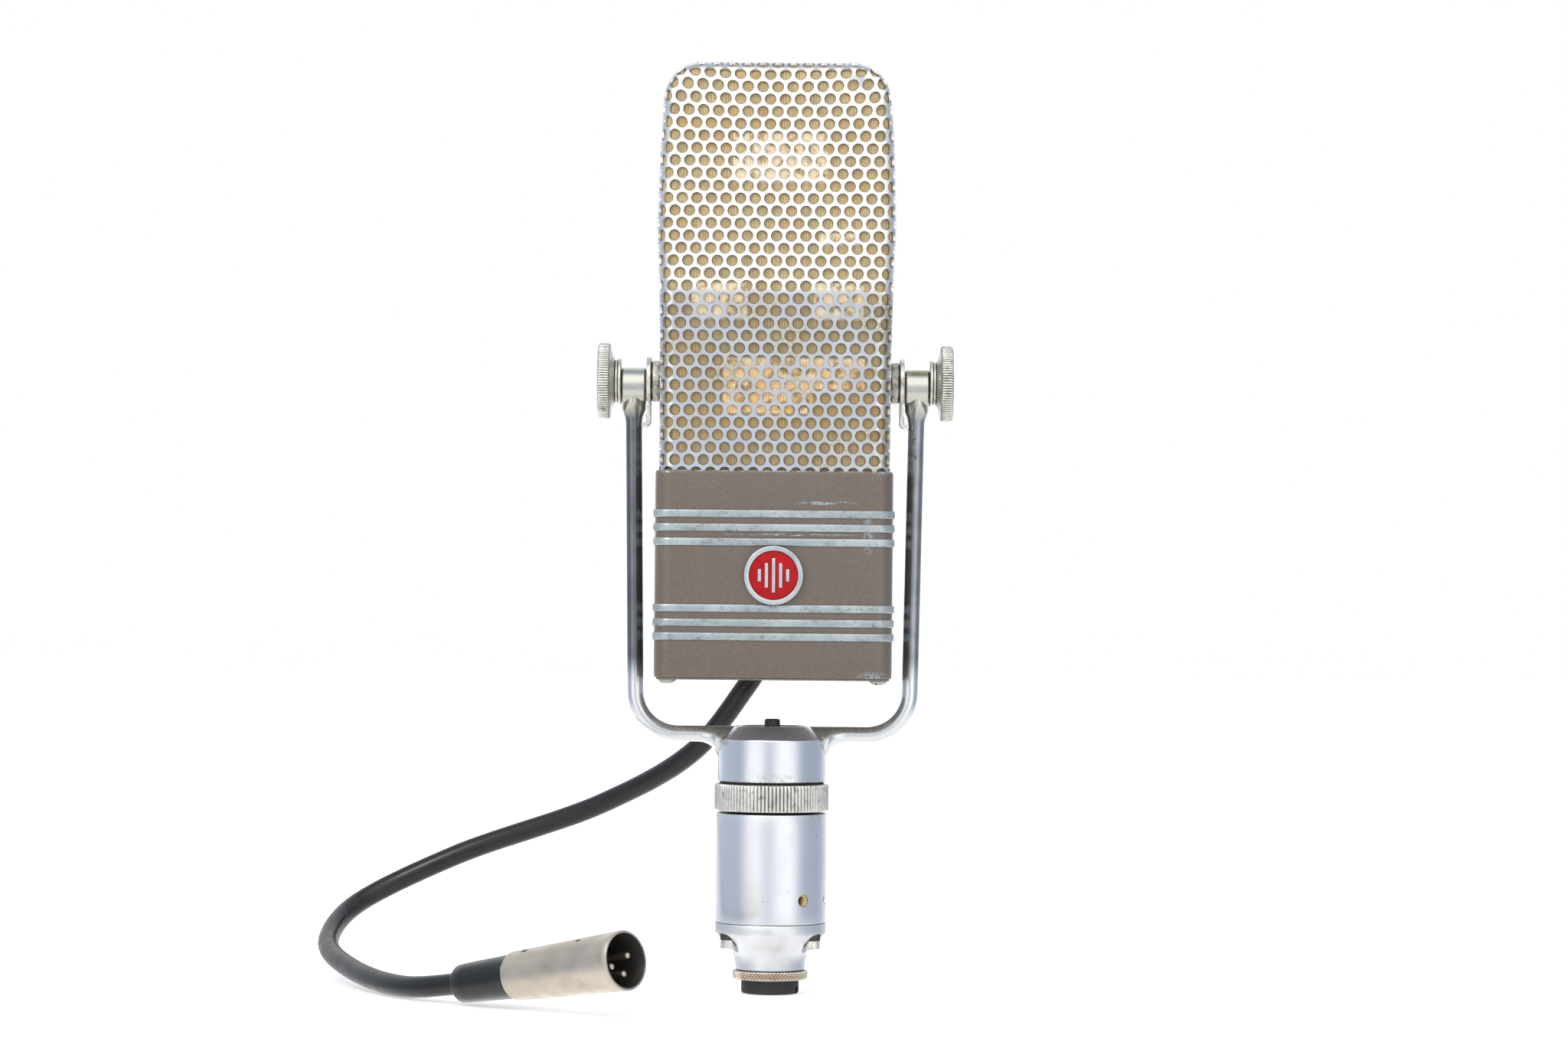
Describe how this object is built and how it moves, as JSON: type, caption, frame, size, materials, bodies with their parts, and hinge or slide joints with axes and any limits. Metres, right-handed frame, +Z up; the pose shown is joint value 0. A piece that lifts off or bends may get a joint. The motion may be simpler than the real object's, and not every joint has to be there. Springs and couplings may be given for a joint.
{
  "type": "ribbon microphone",
  "caption": "Bidirectional ribbon microphone with a perforated head on a tilting fork yoke, a swivel stand mount with a lock ring, and a captive cable with a three-pin connector.",
  "frame": {"origin": "centre of the bottom face of the stand plug, on the vertical swivel axis; z = 0 is the surface the plug and the cable rest on", "axes": "+Z up, the front of the microphone faces -Y, +X to the right seen from the front"},
  "size_m": [0.214, 0.1949, 0.3072],
  "materials": {
    "case_paint": "umber grey-brown enamel, fine metallic speckle, chipped to bare metal at corners",
    "perforated_grille": "plated perforated sheet, softly dented, light tarnish",
    "woven_screen": "fine woven brass screen",
    "yoke_metal": "buffed aluminium casting with grime in the corners",
    "turned_aluminium": "turned satin aluminium",
    "nickel": "dull nickel plate with olive tarnish in the knurl",
    "dark_steel": "blackened steel",
    "magnet_steel": "cast magnet alloy",
    "ribbon_foil": "corrugated foil",
    "brass": "machined brass",
    "copper_coil": "varnished copper winding",
    "fibre": "vulcanised fibre",
    "red_enamel": "glossy red enamel",
    "black_rubber": "matt black rubber with scuffs",
    "connector_nickel": "satin nickel with fine scratches"
  },
  "bodies": {
    "base": {"stand_plug": "black_rubber", "base_collar": "turned_aluminium", "sleeve": "turned_aluminium", "spindle": "dark_steel", "swivel_bolt": "dark_steel", "swivel_washer": "nickel", "collar_screw_left": "nickel", "collar_screw_right": "nickel", "collar_screw_rear": "nickel"},
    "stand_ring": {"stand_ring": "nickel"},
    "friction_washer": {"friction_washer": "fibre"},
    "lock_ring": {"lock_ring": "nickel"},
    "yoke": {"yoke": "yoke_metal", "lock_plate_left": "nickel", "lock_plate_right": "nickel", "cable": "black_rubber", "connector_boot": "black_rubber", "connector_shell": "connector_nickel", "connector_insert": "black_rubber", "connector_pin_1": "connector_nickel", "connector_pin_2": "connector_nickel", "connector_pin_3": "connector_nickel"},
    "knob_washer_left": {"knob_washer_left": "nickel"},
    "thumb_knob_left": {"thumb_knob_left": "nickel"},
    "knob_washer_right": {"knob_washer_right": "nickel"},
    "thumb_knob_right": {"thumb_knob_right": "nickel"},
    "head": {"lower_case": "case_paint", "base_plate": "dark_steel", "plate_screw_1": "nickel", "plate_screw_2": "nickel", "plate_screw_3": "nickel", "plate_screw_4": "nickel", "emblem_badge": "yoke_metal", "emblem_enamel": "red_enamel", "grille_front": "perforated_grille", "grille_rear": "perforated_grille", "screen_front": "woven_screen", "screen_rear": "woven_screen", "pole_piece_left": "magnet_steel", "pole_piece_right": "magnet_steel", "magnet": "magnet_steel", "motor_frame": "turned_aluminium", "ribbon": "ribbon_foil", "ribbon_clamp_top": "brass", "ribbon_clamp_bottom": "brass", "transformer_core": "magnet_steel", "transformer_coil": "copper_coil", "terminal_board": "fibre", "pivot_stud_left": "dark_steel", "pivot_stud_right": "dark_steel", "stud_nut_left": "nickel", "stud_nut_right": "nickel", "strain_relief": "black_rubber", "cable_stub": "black_rubber"}
  },
  "joints": [
    {"name": "yoke_swivel", "type": "hinge", "parent": "base", "child": "yoke", "pos_m": [0, 0, 0.0701], "axis": [0, 0, 1], "continuous": true},
    {"name": "head_tilt", "type": "hinge", "parent": "yoke", "child": "head", "pos_m": [0, 0, 0.2023], "axis": [1, 0, 0], "range_deg": [-30, 45]},
    {"name": "lock_ring_travel", "type": "slide", "parent": "base", "child": "friction_washer", "axis": [0, 0, -1], "range_m": [0, 0.0005]},
    {"name": "lock_ring_turn", "type": "hinge", "parent": "friction_washer", "child": "lock_ring", "pos_m": [0, 0, 0.065], "axis": [0, 0, -1], "range_deg": [0, 180]},
    {"name": "stand_ring_turn", "type": "hinge", "parent": "base", "child": "stand_ring", "pos_m": [0, 0, 0.006], "axis": [0, 0, 1], "continuous": true},
    {"name": "knob_left_travel", "type": "slide", "parent": "yoke", "child": "knob_washer_left", "axis": [-1, 0, 0], "range_m": [0, 0.00255]},
    {"name": "knob_left_turn", "type": "hinge", "parent": "knob_washer_left", "child": "thumb_knob_left", "pos_m": [-0.056, 0, 0.2023], "axis": [-1, 0, 0], "range_deg": [0, 720]},
    {"name": "knob_right_travel", "type": "slide", "parent": "yoke", "child": "knob_washer_right", "axis": [1, 0, 0], "range_m": [0, 0.00255]},
    {"name": "knob_right_turn", "type": "hinge", "parent": "knob_washer_right", "child": "thumb_knob_right", "pos_m": [0.056, 0, 0.2023], "axis": [1, 0, 0], "range_deg": [0, 720]}
  ],
  "couplings": [
    {"joint": "lock_ring_travel", "follows": "lock_ring_turn", "m_per_rad": 0.000159},
    {"joint": "knob_left_travel", "follows": "knob_left_turn", "m_per_rad": 0.0002021},
    {"joint": "knob_right_travel", "follows": "knob_right_turn", "m_per_rad": 0.0002021}
  ]
}
